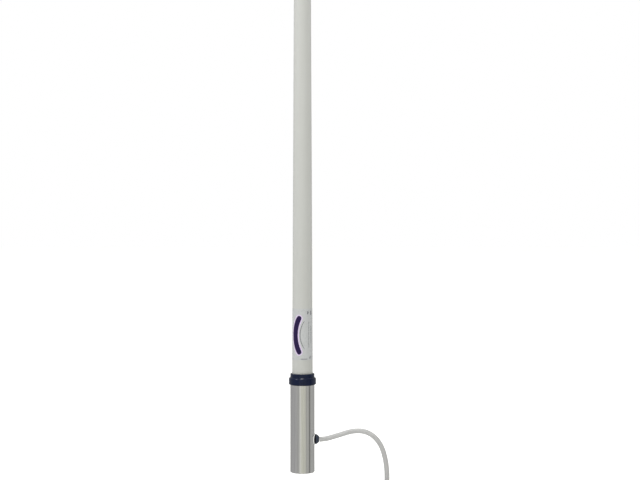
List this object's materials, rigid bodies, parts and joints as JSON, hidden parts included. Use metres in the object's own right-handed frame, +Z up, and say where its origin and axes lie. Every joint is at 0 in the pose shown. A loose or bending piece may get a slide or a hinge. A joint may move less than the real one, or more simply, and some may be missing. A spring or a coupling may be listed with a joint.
{
  "type": "omnidirectional whip antenna",
  "caption": "Tapered fibreglass whip antenna on a stainless threaded base ferrule, with a side cable gland, coaxial lead and screw-on plug.",
  "frame": {"origin": "middle of the ferrule's foot, on the whip's axis, where the base screws onto its mount", "axes": "+Z up along the whip, +X out through the cable gland"},
  "size_m": [0.1458, 0.1278, 2.475],
  "materials": {
    "stainless": "drawn tube, satin",
    "brass": "turned",
    "copper": "bare copper",
    "nickel": "nickel plated",
    "navy_plastic": "moulded, satin gloss",
    "blue_plastic": "moulded, gloss",
    "fibreglass": "painted fibreglass, satin",
    "printed_film": null,
    "lead_jacket": "extruded jacket, satin",
    "black_rubber": "matte",
    "white_plastic": "turned nylon",
    "pale_foam": "closed-cell foam",
    "brown_resin": "laminated resin"
  },
  "bodies": {
    "antenna": {"ferrule_sleeve": "stainless", "threaded_insert": "brass", "seal_disc": "white_plastic", "collar": "navy_plastic", "collar_seal": "black_rubber", "whip_tube": "fibreglass", "tip_cap": "blue_plastic", "whip_label": "printed_film", "gland_bushing": "navy_plastic", "gland_nut": "nickel", "gland_washer": "white_plastic", "feed_cable": "lead_jacket", "base_grommet": "black_rubber", "decoupling_sleeve": "brass", "sleeve_spacer_lower": "white_plastic", "sleeve_spacer_upper": "white_plastic", "sleeve_end_disc": "brass", "braid_ferrule": "copper", "feed_dielectric": "white_plastic", "feedpoint_insulator": "white_plastic", "centre_terminal": "brass", "lower_radiator": "brass", "coil_former": "brown_resin", "upper_radiator": "brass", "end_insulator": "white_plastic", "phasing_coil": "copper", "centring_disc_1": "pale_foam", "centring_disc_2": "pale_foam", "centring_disc_3": "pale_foam", "centring_disc_4": "pale_foam", "centring_disc_5": "pale_foam", "cable_run": "lead_jacket", "cable_coil": "lead_jacket", "coil_tie": "black_rubber", "cable_tail": "lead_jacket", "plug_boot": "black_rubber", "plug_body": "nickel", "plug_insulator": "brown_resin", "plug_pin": "nickel"},
    "coupling_ring": {"plug_coupling_ring": "nickel"}
  },
  "joints": [
    {"name": "coupling_ring_turn", "type": "hinge", "parent": "antenna", "child": "coupling_ring", "pos_m": [0.12, 0.09925, -0.066], "axis": [0, 1, 0], "continuous": true}
  ]
}
